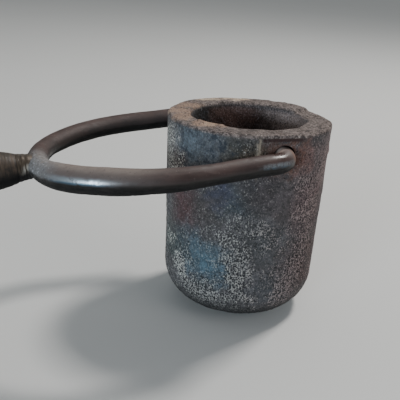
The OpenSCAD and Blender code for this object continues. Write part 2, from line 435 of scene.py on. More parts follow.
def make_fork():
    route, radius = fork_route()
    centre = fork_points(*route.T)
    forward = np.gradient(centre, axis=0)
    forward /= np.linalg.norm(forward, axis=1, keepdims=True)
    side = np.cross(forward, ABOVE)
    side /= np.linalg.norm(side, axis=1, keepdims=True)
    up = np.cross(side, forward)
    a = np.linspace(0.0, TURN, FORK_AROUND, endpoint=False)
    in_arm = smooth(8 * MM, 20 * MM, route[:, 0])[:, None]
    flats = 0.014 * np.cos(4 * a + 0.4)[None, :] + 0.010 * np.cos(3 * a + 1.3)[None, :]
    ring = np.cos(a)[None, :, None] * side[:, None] + np.sin(a)[None, :, None] * up[:, None]
    rings = centre[:, None] + (radius[:, None] * (1.0 + flats * in_arm))[..., None] * ring
    free = 0.25 + 0.75 * in_arm
    hammered = 0.11 * noise(rings, 9 * MM, 41) + 0.04 * noise(rings, 3.1 * MM, 43)
    pitted = -0.30 * np.clip(noise(rings, 1.6 * MM, 47) - 0.5, 0, 1)
    worn_crotch = smooth(84 * MM, 96 * MM, route[:, 0])[:, None]
    scarred = 0.09 * worn_crotch * layered_noise(rings, 1.8 * MM, 53, 2)
    relief = (hammered * free + pitted + scarred) * MM
    rings = rings + relief[..., None] * ring
    return ring_mesh("forged_fork", rings)


# ---- Handle: pieces turned about its axis ----

def turned_piece(name, section, around, relief):
    """A piece turned about the handle's axis from (u, radius) points, with a relief on it."""
    a = np.linspace(0.0, TURN, around, endpoint=False)
    u = np.repeat(section[:, :1], around, axis=1)
    radius = np.repeat(section[:, 1:], around, axis=1)
    rings = fork_points(u, radius * np.cos(a), radius * np.sin(a))
    radius = radius + relief(rings, u, a)
    return ring_mesh(name, fork_points(u, radius * np.cos(a), radius * np.sin(a)))


BRAZE_START, _, BRAZE_R = station("braze_fillet")
FERRULE_START, FERRULE_END, FERRULE_R = station("ferrule")
_, GRIP_END, GRIP_R = station("grip")
BURR_START, BURR_END, BURR_R = station("burr")
TANG_START, TANG_END, TANG_R = station("tang")


def sag(u, a):
    """Lowers the brazed joint by half a millimetre, fading out at the ferrule's end."""
    return -0.5 * np.sin(a) * smooth(FERRULE_END, FERRULE_START, u)


def bead_relief(rings, u, a):
    """Ripples and blobs of the brazed bead."""
    ripples = 0.05 * np.sin(u / (0.32 * MM) + 1.5 * np.sin(2 * a))
    return (ripples + 0.20 * noise(rings, 2.6 * MM, 61) + sag(u, a)) * MM


def make_braze():
    """Brazed bead that wraps the back of the crotch and runs out onto the ferrule's mouth."""
    core = 3.6
    start, mouth, radius = BRAZE_START / MM, FERRULE_START / MM, BRAZE_R / MM
    outline = MM * np.array([
        (start - 0.6, core), (start - 0.3, radius - 0.65), (start + 0.9, radius - 0.1),
        (start + 2.6, radius + 0.10), (mouth, radius + 0.55), (mouth + 0.5, radius + 0.65),
        (mouth + 0.9, radius + 0.50), (mouth + 1.0, core),
    ])
    return turned_piece("brazed_bead", resampled(outline, 0.16 * MM), 96, bead_relief)


def ferrule_relief(rings, u, a):
    """Turning grooves, dents and a slight wobble of the ferrule."""
    grooves = 0.02 * np.sin(u / (0.21 * MM)) + 0.03 * noise(np.stack([u, u, u], -1), 1.1 * MM, 71)
    dents = 0.10 * noise(rings, 6 * MM, 73) + 0.03 * noise(rings, 1.6 * MM, 74)
    return (grooves + dents + sag(u, a)) * MM


def make_ferrule():
    """Flared ferrule with a rolled band at its large end."""
    start, end = FERRULE_START / MM, FERRULE_END / MM
    mouth_r, end_r = BRAZE_R / MM + 0.70, FERRULE_R / MM
    band = end - 4.6
    outline = MM * np.array([
        (start + 0.5, 4.2), (start + 0.5, mouth_r), (start + 2.0, mouth_r + 0.50),
        (start + 4.0, mouth_r + 1.05), (start + 6.5, mouth_r + 1.60),
        (start + 9.5, mouth_r + 2.20), (start + 12.5, end_r - 0.65),
        (band - 0.5, end_r - 0.55), (band - 0.1, end_r - 0.60), (band + 0.1, end_r - 0.20),
        (band + 0.7, end_r), (end - 0.7, end_r), (end - 0.1, end_r - 0.35),
        (end, end_r - 1.0), (end, end_r - 2.2),
    ])
    return turned_piece("flared_ferrule", resampled(outline, 0.22 * MM), 112, ferrule_relief)


def grip_outline():
    """Radius of the turned grip along its length: shoulder bead, belly, waist and rounded end."""
    length = GRIP_END - FERRULE_END
    neck, waist = FERRULE_R + 0.7 * MM, 10.3 * MM
    t = np.linspace(0.0, 0.92, 240)
    belly = neck + (GRIP_R - neck) * np.sin(np.clip(t / 0.4, 0, 1) * pi / 2)
    falling = waist + (GRIP_R - waist) * (1 + np.cos(np.clip((t - 0.4) / 0.42, 0, 1) * pi)) / 2
    ending = waist + 0.9 * MM * np.sin(np.clip((t - 0.82) / 0.1, 0, 1) * pi / 2)
    radius = np.where(t < 0.4, belly, np.where(t < 0.82, falling, ending))
    u = FERRULE_END + t * length
    seat = BURR_R + 0.4 * MM
    a = np.linspace(0.0, pi / 2, 28)[1:]
    dome_u = GRIP_END - 0.08 * length * (1 - np.sin(a))
    dome_r = seat + (radius[-1] - seat) * np.cos(a)
    return np.concatenate([np.stack([u, radius], -1), np.stack([dome_u, dome_r], -1)])


# Turned grooves of the grip: distance behind the ferrule, depth and width in mm
GRIP_GROOVES = ((4.2, 0.75, 0.7), (7.2, 0.5, 0.5), (104.0, 0.6, 0.6))


def with_grooves(outline):
    """Cuts the turned grooves and rounds the shoulder at the ferrule."""
    outline = outline.copy()
    for distance, depth, width in GRIP_GROOVES:
        at = outline[:, 0] - FERRULE_END - distance * MM
        outline[:, 1] -= depth * MM * np.exp(-(at / (width * MM)) ** 2)
    shoulder = outline[:, 0] - FERRULE_END
    outline[:, 1] -= 0.9 * MM * smooth(1.1 * MM, 0.0, shoulder) ** 2
    return outline


def grip_relief(rings, u, a):
    """Slight ovality, hand wear, dents and open grain of the wood."""
    stretched = np.stack([u / 14.0, rings[..., 1], (rings[..., 2] + u * sin(DROOP))], -1)
    pores = -np.clip(noise(stretched, 0.55 * MM, 81) - 0.35, 0, 1)
    dents = -np.clip(noise(rings, 7 * MM, 83) - 0.62, 0, 1)
    return (0.10 * np.cos(2 * a) + 0.10 * noise(rings, 17 * MM, 85) + 0.09 * pores + 0.9 * dents) * MM


def make_grip():
    outline = with_grooves(resampled(grip_outline(), 0.3 * MM))
    start = np.array([(FERRULE_END + 0.05 * MM, 6.0 * MM)])
    end = np.array([(GRIP_END, 3.2 * MM)])
    return turned_piece("turned_grip", np.concatenate([start, outline, end]), 144, grip_relief)


def hammer_relief(depth, size, seed):
    """Flat-bottomed dents of a hammer."""
    def relief(rings, u, a):
        return -depth * np.clip(noise(rings, size, seed) + 0.1, 0, 0.7)
    return relief


def make_burr():
    """Washer with a worn outer edge."""
    start, end, radius, bore_r = BURR_START / MM, BURR_END / MM, BURR_R / MM, 3.1
    outline = MM * np.array([
        (start, bore_r), (start, radius - 0.3), (start + 0.3, radius), (end - 0.55, radius),
        (end - 0.15, radius - 0.45), (end, radius - 1.2), (end, bore_r),
    ])
    relief = hammer_relief(0.35 * MM, 2.4 * MM, 91)
    return turned_piece("burr_washer", resampled(outline, 0.14 * MM), 96, relief)


def make_tang():
    """The tang: its shoulder in the brazed joint, the rod through the grip and the peened head."""
    start, mouth = TANG_START / MM, FERRULE_START / MM
    washer, end = BURR_END / MM, TANG_END / MM
    shoulder_r, rod_r, head_r = 3.9, 3.0, TANG_R / MM
    outline = MM * np.array([
        (start + 4.9, 2.0), (start + 5.0, shoulder_r), (mouth + 2.0, shoulder_r),
        (mouth + 2.1, rod_r), (washer - 0.1, rod_r), (washer + 0.02, head_r - 0.2),
        (washer + 0.5, head_r), (washer + 1.0, head_r - 0.35), (end - 0.35, 2.6),
        (end - 0.05, 1.3),
    ])
    relief = hammer_relief(0.4 * MM, 1.7 * MM, 97)
    return turned_piece("riveted_tang", resampled(outline, 0.2 * MM), 72, relief)


# ---- Shader building blocks ----

class Nodes:
    """Short ways to add nodes to a tree; most of them return an output socket."""

    def __init__(self, tree):
        self.tree = tree

    def node(self, kind, **settings):
        node = self.tree.nodes.new(kind)
        for key, value in settings.items():
            setattr(node, key, value)
        return node

    def feed(self, socket, value):
        if isinstance(value, bpy.types.NodeSocket):
            self.tree.links.new(value, socket)
        else:
            socket.default_value = value

    def fill(self, node, **values):
        """Fills inputs of a node by their names."""
        for name, value in values.items():
            self.feed(node.inputs[name], value)

    def vector(self, operation, a, b=None, scale=None):
        node = self.node("ShaderNodeVectorMath", operation=operation)
        self.feed(node.inputs[0], a)
        if b is not None:
            self.feed(node.inputs[1], b)
        if scale is not None:
            self.feed(node.inputs["Scale"], scale)
        value = operation in ("LENGTH", "DISTANCE", "DOT_PRODUCT")
        return node.outputs["Value" if value else "Vector"]

    def math(self, operation, a, b=0.0, clamp=False):
        node = self.node("ShaderNodeMath", operation=operation, use_clamp=clamp)
        self.feed(node.inputs[0], a)
        self.feed(node.inputs[1], b)
        return node.outputs[0]

    def noise(self, scale, detail=4.0, roughness=0.6, where=None, distortion=0.0):
        """Noise with about scale features per millimetre, or per unit of another place."""
        node = self.node("ShaderNodeTexNoise")
        self.fill(node, Vector=self.mm if where is None else where, Scale=scale, Detail=detail,
                  Roughness=roughness, Distortion=distortion)
        return node.outputs["Fac"]

    def step(self, value, low, high):
        """0 at low and 1 at high, smooth between; low may be above high."""
        node = self.node("ShaderNodeMapRange", interpolation_type="SMOOTHSTEP")
        ends = {"From Min": min(low, high), "From Max": max(low, high),
                "To Min": float(low > high), "To Max": float(low <= high)}
        self.fill(node, Value=value, **ends)
        return node.outputs["Result"]

    def mix(self, share, a, b, blend="MIX"):
        node = self.node("ShaderNodeMix", data_type="RGBA", blend_type=blend)
        self.fill(node, Factor=share, A=rgba(a), B=rgba(b))
        return node.outputs["Result"]

    def number(self, share, a, b):
        """Mixes two plain numbers."""
        node = self.node("ShaderNodeMix", data_type="FLOAT")
        self.fill(node, Factor=share, A=a, B=b)
        return node.outputs["Result"]

    def product(self, *values):
        out = values[0]
        for value in values[1:]:
            out = self.math("MULTIPLY", out, value)
        return out

    def larger(self, a, b):
        return self.math("MAXIMUM", a, b)

    def total(self, *values):
        out = values[0]
        for value in values[1:]:
            out = self.math("ADD", out, value)
        return out

    def over(self, colour, tint, *shares):
        """A colour with a tint over it, as strong as the product of the shares."""
        return self.mix(self.product(*shares), colour, tint)

    def parts(self, vector):
        node = self.node("ShaderNodeSeparateXYZ")
        self.feed(node.inputs[0], vector)
        return node.outputs


class Shader(Nodes):
    """A node material, with the place in millimetres and how far the surface faces up."""

    def __init__(self, name, roughness=0.6, metallic=0.0, specular=0.5):
        self.material = bpy.data.materials.new(name)
        self.material.use_nodes = True
        super().__init__(self.material.node_tree)
        self.bsdf = self.tree.nodes["Principled BSDF"]
        self.fill(self.bsdf, Roughness=roughness, Metallic=metallic)
        self.bsdf.inputs["Specular IOR Level"].default_value = specular
        coordinates = self.node("ShaderNodeTexCoord").outputs
        self.place = coordinates["Object"]
        self.mm = self.vector("SCALE", self.place, scale=1000.0)
        self.x, self.y, self.z = self.parts(self.mm)
        self.up = self.parts(coordinates["Normal"])[2]

    def spot(self, where, centre, radius, soft):
        """1 inside a round spot, fading to 0 at its radius; all in millimetres."""
        gap = self.vector("DISTANCE", where, tuple(centre))
        return self.step(gap, radius, radius * (1.0 - soft))

    def bump(self, height, distance, strength=1.0, under=None):
        node = self.node("ShaderNodeBump")
        self.fill(node, Strength=strength, Distance=distance, Height=height)
        if under is not None:
            self.feed(node.inputs["Normal"], under)
        return node.outputs["Normal"]

    def finish(self, colour, roughness=None, normal=None, metallic=None):
        """Connects what was made to the surface; what is left out stays as it is."""
        self.feed(self.bsdf.inputs["Base Color"], colour)
        given = {"Roughness": roughness, "Metallic": metallic, "Normal": normal}
        self.fill(self.bsdf, **{name: value for name, value in given.items() if value is not None})
        return self.material


def rgba(colour):
    """A colour as a socket takes it: with an alpha, or a socket as it is."""
    if isinstance(colour, bpy.types.NodeSocket) or len(colour) == 4:
        return colour
    return (*colour, 1.0)


def on_wall(angle, height, radius=RIM_R / MM):
    """Point on the pot's wall in millimetres, from its angle in degrees and its height."""
    a = radians(angle)
    return radius * cos(a), radius * sin(a), height


# ---- Materials ----

IRON = (0.085, 0.08, 0.083)

# Tints of the cast wall: angle in degrees, height, radius of the spot in mm, colour, strength
WALL_TINTS = (
    (176, 80, 17, (0.17, 0.16, 0.155), 0.8),
    (206, 87, 17, (0.11, 0.138, 0.165), 1.0),
    (223, 86, 15, (0.086, 0.096, 0.11), 1.0),
    (241, 85, 13, (0.058, 0.052, 0.042), 0.95),
    (253, 85, 9, (0.11, 0.082, 0.056), 0.8),
    (195, 68, 15, (0.086, 0.056, 0.057), 0.8),
    (201, 55, 16, (0.074, 0.039, 0.04), 1.0),
    (220, 57, 14, (0.058, 0.05, 0.049), 0.9),
    (243, 63, 14, (0.04, 0.055, 0.064), 0.9),
    (229, 65, 10, (0.045, 0.048, 0.074), 0.9),
    (257, 66, 17, (0.047, 0.04, 0.042), 0.9),
    (262, 43, 18, (0.064, 0.066, 0.07), 0.8),
    (206, 36, 16, (0.06, 0.082, 0.098), 0.9),
    (221, 31, 16, (0.072, 0.118, 0.15), 1.0),
    (229, 27, 8, (0.056, 0.09, 0.118), 0.6),
    (181, 34, 15, (0.058, 0.078, 0.076), 0.8),
    (266, 21, 11, (0.058, 0.064, 0.073), 0.8),
    (286, 82, 12, (0.2, 0.118, 0.112), 0.8),
    (300, 60, 24, (0.125, 0.082, 0.084), 0.8),
    (304, 30, 24, (0.08, 0.054, 0.054), 0.9),
    (322, 78, 22, (0.215, 0.15, 0.15), 0.8),
    (20, 70, 26, (0.07, 0.082, 0.105), 0.7),
    (45, 35, 24, (0.095, 0.068, 0.068), 0.7),
    (75, 55, 22, (0.055, 0.09, 0.125), 0.8),
    (118, 72, 22, (0.075, 0.092, 0.112), 0.8),
    (140, 38, 24, (0.1, 0.076, 0.075), 0.7),
)
# Patches of coarse ash grains: angle in degrees, height and radius in mm, strength if under 1
ASH_PATCHES = (
    (238, 45, 9, 0.8), (243, 35, 10, 0.9), (245, 26, 11), (250, 18, 8, 0.9),
    (284, 22, 14), (292, 30, 13), (278, 15, 10, 0.9), (299, 56, 14),
    (298, 42, 13), (293, 69, 10, 0.9), (215, 15, 14), (229, 14, 11),
    (236, 55, 7, 0.6), (243, 52, 6, 0.5), (259, 50, 7, 0.9), (265, 44, 6, 0.8),
    (196, 24, 9), (205, 17, 9, 0.9), (177, 41, 9, 0.7), (175, 84, 10),
    (181, 73, 8), (194, 75, 5, 0.8), (205, 75, 5, 0.6), (20, 30, 16, 0.9),
    (50, 22, 18), (90, 26, 18), (130, 24, 18), (350, 28, 15, 0.9),
    (314, 76, 13), (322, 20, 15, 0.9), (62, 52, 10, 0.6), (110, 58, 12, 0.6), (150, 20, 15),
)
# Places with a smooth skin, and with bright grains: angle in degrees, height and radius in mm
CALM_PLACES = (
    (210, 84, 17), (224, 83, 16), (262, 62, 15), (219, 33, 12), (264, 22, 9), (203, 53, 14),
    (190, 47, 12), (226, 57, 13), (240, 66, 11), (262, 34, 8),
)
BRIGHT_PLACES = ((176, 82, 12), (182, 71, 9), (195, 73, 6), (196, 25, 8), (181, 35, 6))
# Tan places on the rim: angle in degrees, distance from the axis and radius of the spot in mm
TAN_PLACES = ((158, 33, 9), (136, 31, 8), (180, 33, 8), (203, 31, 6), (214, 29.5, 6))
RUST = (0.135, 0.06, 0.038)
# Near black: soot in the pot's pits and inside, and painted shade on the handle's undersides.
SOOT_AND_SHADE = (0.01, 0.01, 0.011)
NAVY = (0.024, 0.03, 0.042)
ASH = (0.45, 0.44, 0.405)
PALE_ASH = (0.62, 0.61, 0.56)
PINK_ASH = (0.41, 0.32, 0.31)
TAN = (0.38, 0.255, 0.185)


def wandering(s, size, distance):
    """The place in mm, shifted by soft noise so that stains get uneven outlines."""
    shift = s.node("ShaderNodeTexNoise")
    s.fill(shift, Vector=s.mm, Scale=1.0 / size, Detail=4.0)
    centred = s.vector("SUBTRACT", shift.outputs["Color"], (0.5, 0.5, 0.5))
    return s.vector("ADD", s.mm, s.vector("SCALE", centred, scale=distance))


def toned(s, colour, value, low, high):
    """Multiplies a colour by a factor that goes from low to high with a noise value."""
    factor = s.number(s.step(value, 0.32, 0.68), low, high)
    grey = s.node("ShaderNodeCombineColor")
    s.fill(grey, Red=factor, Green=factor, Blue=factor)
    return s.mix(1.0, colour, grey.outputs[0], "MULTIPLY")


def stain(s, f, angle, height, size, soft=0.6, radius=RIM_R / MM):
    """A soft spot with an uneven outline, on the pot's wall unless another radius is given."""
    return s.spot(f.where, on_wall(angle, height, radius), size, soft)


def strongest(s, f, places, soft):
    """The strongest of several stains, given as angle, height, size and maybe strength."""
    out = 0.0
    for angle, height, size, *strength in places:
        out = s.larger(out, s.product(stain(s, f, angle, height, size, soft), *strength))
    return out


def skin_fields(s):
    """Places and noises that the pot's colours share."""
    clod = s.noise(1.0, 2.0, 0.6, s.vector("MULTIPLY", s.mm, (1.5, 1.5, 1.2)))
    peaks = s.node("ShaderNodeNewGeometry").outputs["Pointiness"]
    lump = s.spot(s.mm, on_wall(210, RIM_Z, 29.2), 5.0, 0.4)
    return SimpleNamespace(
        where=wandering(s, 6.0, 16.0),
        from_axis=s.vector("LENGTH", s.vector("MULTIPLY", s.mm, (1, 1, 0))),
        broad=s.noise(0.13),
        small=s.noise(0.5, 4.0, 0.65),
        grain=s.noise(1.5, 3.0, 0.7),
        clod=clod,
        raised=s.total(clod, s.product(s.step(peaks, 0.46, 0.54), 0.06)),
        lip=s.product(s.step(s.z, RIM_Z - 1.6, RIM_Z - 0.2), lump),
    )


def wall_base(s, f, calm):
    """Heat tints and stains as overlapping soft spots, then broad, small and fine mottling."""
    colour = IRON
    for angle, height, size, tint, strength in WALL_TINTS:
        colour = s.over(colour, tint, stain(s, f, angle, height, size, 0.85), strength)
    colour = toned(s, colour, f.broad, 0.76, 1.2)
    colour = toned(s, colour, f.small, 0.7, 1.32)
    return toned(s, colour, f.grain, s.number(calm, 0.66, 0.84), s.number(calm, 1.36, 1.16))


def wall_colour(s, f):
    """The outside: coarse ash grains with sooty pits between them, over the tinted base."""
    calm = strongest(s, f, CALM_PLACES, 0.6)
    faint = s.number(calm, 1.0, 0.45)
    colour = wall_base(s, f, calm)
    cluster = s.noise(0.16, 4.0, 0.7)
    low_wall = s.step(s.z, 70.0, 28.0)
    thin = s.product(s.step(cluster, 0.38, 0.6), s.number(low_wall, 0.3, 0.8))
    patches = s.larger(strongest(s, f, ASH_PATCHES, 0.7), thin)
    ash_colour = s.mix(s.step(s.x, -20.0, 12.0), ASH, PINK_ASH)
    ash = s.step(s.total(f.raised, s.product(patches, 0.14)), 0.655, 0.745)
    uneven = s.number(s.step(f.grain, 0.35, 0.62), 0.45, 1.0)
    colour = s.over(colour, ash_colour, ash, uneven, faint, 0.8)
    pits = s.step(s.math("SUBTRACT", f.clod, s.product(patches, 0.08)), 0.42, 0.35)
    colour = s.over(colour, SOOT_AND_SHADE, pits, faint, 0.88)
    flecks = s.step(s.noise(2.6, 2.0, 0.6), 0.64, 0.73)
    colour = s.over(colour, ash_colour, flecks, s.step(f.small, 0.48, 0.6), 0.55)
    bright = strongest(s, f, BRIGHT_PLACES, 0.6)
    colour = s.over(colour, PALE_ASH, bright, s.step(f.raised, 0.54, 0.62), 0.85)
    mottles = s.step(s.noise(0.33, 3.0, 0.6), 0.48, 0.38)
    colour = s.over(colour, NAVY, stain(s, f, 214, 83, 21.0, 0.5), mottles, 0.75)
    # Painted shade: the foot darkened towards the floor, below about 15 mm.
    return s.over(colour, (0.016, 0.016, 0.015), s.step(s.z, 15.5, 3.5), 0.85)


def hole_colours(s, f, colour):
    """Rust round the trunnion holes, a pale drip beside the front one, and painted shade in the holes.
    """
    for side in (-90, 90):
        near = stain(s, f, side + 2, HOLE_Z / MM + 1, 15.0, 0.75)
        colour = s.over(colour, RUST, near, s.step(f.small, 0.34, 0.54), 0.7)
    squashed = 0.12
    drip_at = s.vector("MULTIPLY", wandering(s, 3.0, 2.2), (1, 1, squashed))
    drip = s.spot(drip_at, (-11.9, -35.2, 84.2 * squashed), 1.5, 0.6)
    colour = s.over(colour, (0.47, 0.4, 0.32), drip, s.step(f.grain, 0.26, 0.44), 0.9)
    # Painted shade: the inside of each bore coloured near black, so the gap over the pin shows as a
    # dark crescent.
    hole_at = s.vector("MULTIPLY", s.vector("SUBTRACT", s.mm, (0, 0, HOLE_Z / MM)), (1, 0, 1))
    bore = s.step(s.vector("LENGTH", hole_at), HOLE_R / MM + 0.3, HOLE_R / MM + 0.1)
    off_middle = s.math("ABSOLUTE", s.y)
    mouth, bottom = PAD_Y / MM, (PAD_Y - HOLE_DEPTH) / MM
    below_mouth = s.step(off_middle, mouth - 0.2, mouth - 0.7)
    above_bottom = s.step(off_middle, bottom - 0.8, bottom - 0.4)
    return s.over(colour, (0.004, 0.003, 0.003), bore, below_mouth, above_bottom)


def rim_streaks(s, f):
    """Noise that is long round the rim and short across it."""
    round_rim = s.vector("NORMALIZE", s.vector("MULTIPLY", s.mm, (1, 1, 0)))
    across = s.node("ShaderNodeCombineXYZ")
    s.feed(across.inputs[2], f.from_axis)
    at = s.vector("ADD", s.vector("SCALE", round_rim, scale=15.0), across.outputs[0])
    return s.noise(0.9, 4.0, 0.65, at)


def rim_colours(s, f, colour):
    """The rim's worn top: streaks, tan and pale places, pits, cracks and grains."""
    high_up = s.step(s.total(s.z, s.product(f.small, 1.2)), RIM_Z - 1.2, RIM_Z + 0.2)
    facing_up = s.step(s.up, 0.55, 0.85)
    level = s.product(facing_up, s.step(s.z, RIM_Z - 4.0, RIM_Z - 3.0))
    top = s.larger(high_up, level)
    streaks = s.step(rim_streaks(s, f), 0.38, 0.6)
    worn = s.mix(streaks, (0.058, 0.044, 0.04), (0.25, 0.2, 0.182))
    colour = s.over(colour, worn, top, 0.92)
    patchy = s.step(f.small, 0.3, 0.5)
    for angle, radius, size in TAN_PLACES:
        spot = stain(s, f, angle, RIM_Z, size, 0.6, radius)
        colour = s.over(colour, TAN, spot, top, patchy, 0.85)
    for angle in range(72, 109, 9):
        spot = stain(s, f, angle, RIM_Z, 5.0, 0.6, 35.5)
        colour = s.over(colour, (0.62, 0.49, 0.37), spot, top, 0.9)
    colour = s.over(colour, (0.48, 0.33, 0.23), f.lip, 0.9)
    colour = s.over(colour, (0.036, 0.027, 0.024), top, s.step(f.grain, 0.49, 0.37), 0.65)
    cracks = s.product(s.step(f.clod, 0.47, 0.38), s.step(f.broad, 0.36, 0.56))
    colour = s.over(colour, (0.032, 0.024, 0.022), top, cracks, 0.8)
    colour = s.over(colour, (0.48, 0.41, 0.37), top, s.step(f.raised, 0.64, 0.76), 0.75)
    # Painted shadow: a dark line under the rim above the front pad, along the filed groove.
    line = s.product(s.step(s.z, 89.5, 90.3), s.step(s.z, 91.4, 91.0))
    return s.over(colour, (0.04, 0.02, 0.018), line, stain(s, f, 269, 90, 10.0, 0.3), 0.85)


def inside_colours(s, f, colour):
    """The inside: near black from soot and painted shade, a painted pool of light on the right wall,
    warmer at the back, with residue low down.
    """
    # Painted light: a pale grey pool on the right inner wall; elsewhere near black, for soot and
    # painted shade.
    wall = s.mix(stain(s, f, 8, RIM_Z - 7, 26, 0.8, 26), (0.022, 0.02, 0.02), (0.42, 0.33, 0.3))
    residue = s.mix(s.step(f.small, 0.4, 0.6), (0.085, 0.075, 0.068), (0.24, 0.205, 0.165))
    wall = s.mix(s.step(s.z, 52.0, 34.0), wall, residue)
    # More painted light on the right inner wall, just under the rim.
    wall = s.mix(stain(s, f, 338, RIM_Z - 3, 15, 0.8, 26.5), wall, (0.36, 0.28, 0.25))
    wall = s.over(wall, (0.23, 0.145, 0.125), stain(s, f, 82, RIM_Z - 5, 18, 0.8, 26), 0.8)
    wall = s.over(wall, (0.22, 0.25, 0.31), s.step(f.raised, 0.62, 0.74), 0.45)
    wall = s.over(wall, SOOT_AND_SHADE, s.step(f.grain, 0.46, 0.36), 0.7)
    wall = toned(s, wall, f.clod, 0.6, 1.45)
    below_rim = s.step(s.z, RIM_Z - 0.5, RIM_Z - 4.0)
    return s.over(colour, wall, s.step(f.from_axis, 28.5, 26.8), below_rim)


def pot_material():
    s = Shader("scaled_iron", roughness=0.85, specular=0.35)
    f = skin_fields(s)
    colour = wall_colour(s, f)
    colour = hole_colours(s, f, colour)
    colour = rim_colours(s, f, colour)
    colour = inside_colours(s, f, colour)
    roughness = s.number(s.step(f.broad, 0.35, 0.65), 0.66, 0.9)
    relief = s.total(s.product(f.grain, 0.5), s.product(f.clod, 0.5))
    relief = s.product(relief, s.number(f.lip, 1.0, 0.2))
    return s.finish(colour, roughness, s.bump(relief, 0.7 * MM, 0.9))


def along_handle(s, stretch_along, stretch_across):
    """Coordinates in mm along and across the handle, divided by the two stretches."""
    local = s.vector("SUBTRACT", s.mm, tuple(HINGE / MM))
    node = s.node("ShaderNodeCombineXYZ")
    axes = ((ALONG, stretch_along), (ACROSS, stretch_across), (ABOVE, stretch_across))
    for socket, (axis, stretch) in zip(node.inputs, axes):
        s.feed(socket, s.vector("DOT_PRODUCT", local, tuple(axis / stretch)))
    return node.outputs[0]


def underside(s, start, end):
    """1 on surfaces that face down, in the pose at rest."""
    return s.step(s.up, start, end)


def fork_spot(s, u, v, w, radius, soft):
    """A soft spot on the fork; all in millimetres, in the fork's frame."""
    centre = fork_points(u * MM, v * MM, w * MM) / MM
    return s.spot(s.mm, tuple(centre), radius, soft)


def rod_fields(s):
    """Noises that the rod's colours share, and which arm it is."""
    return SimpleNamespace(
        broad=s.noise(0.1),
        fine=s.noise(0.9),
        streaks=s.noise(0.5, 4.0, 0.6, s.vector("MULTIPLY", s.mm, (0.25, 1.0, 1.6))),
        in_front=s.step(s.y, 8.0, -12.0),
    )


def oxide_colour(s, f):
    """Dull brown oxide, with painted light making it paler on the top of the front arm near the crotch.
    """
    painted_light_zone = s.product(s.step(s.x, -46.0, -76.0), f.in_front)
    oxide = s.mix(s.step(f.broad, 0.35, 0.65), (0.04, 0.021, 0.018), (0.062, 0.034, 0.029))
    # Painted light: paler on the front arm near the crotch, palest on faces turned up.
    oxide = s.mix(painted_light_zone, oxide, (0.135, 0.106, 0.095))
    oxide = s.over(oxide, (0.25, 0.205, 0.175), painted_light_zone, s.step(s.up, 0.66, 0.95), 0.75)
    oxide = s.over(oxide, (0.12, 0.08, 0.072), s.step(f.streaks, 0.45, 0.7), 0.4)
    oxide = s.over(oxide, (0.24, 0.19, 0.18), s.step(f.fine, 0.6, 0.74), 0.35)
    return s.over(oxide, (0.03, 0.026, 0.025), s.step(f.fine, 0.42, 0.3), 0.5)


def torched(s, colour, worn):
    """Bare grey metal, rough from the torch, with bright sparks and dark dents."""
    colour = s.over(colour, (0.215, 0.208, 0.206), worn, 0.9)
    sparks = s.step(s.noise(0.95, 3.0, 0.6), 0.56, 0.68)
    colour = s.over(colour, (0.55, 0.55, 0.57), worn, sparks, 0.6)
    dents = s.step(s.noise(0.8, 3.0, 0.6), 0.44, 0.34)
    return s.over(colour, (0.03, 0.03, 0.032), worn, dents, 0.7)


def painted_highlight_place(s, f):
    """Where the painted highlight goes: a band of the front arm's faces beside the crotch and at the
    elbow.
    """
    by_crotch = fork_spot(s, 83.5, -29.0, 1.0, 19.0, 0.75)
    blotches = s.step(s.noise(0.8), 0.3, 0.62)
    by_elbow = s.product(fork_spot(s, 8.0, -44.0, 1.0, 10.5, 0.7), blotches, 0.7)
    band = s.product(s.step(s.up, -0.16, 0.14), s.step(s.up, 0.58, 0.26))
    patchy = s.step(s.noise(0.5), 0.24, 0.46)
    return s.product(s.larger(by_crotch, by_elbow), band, patchy)


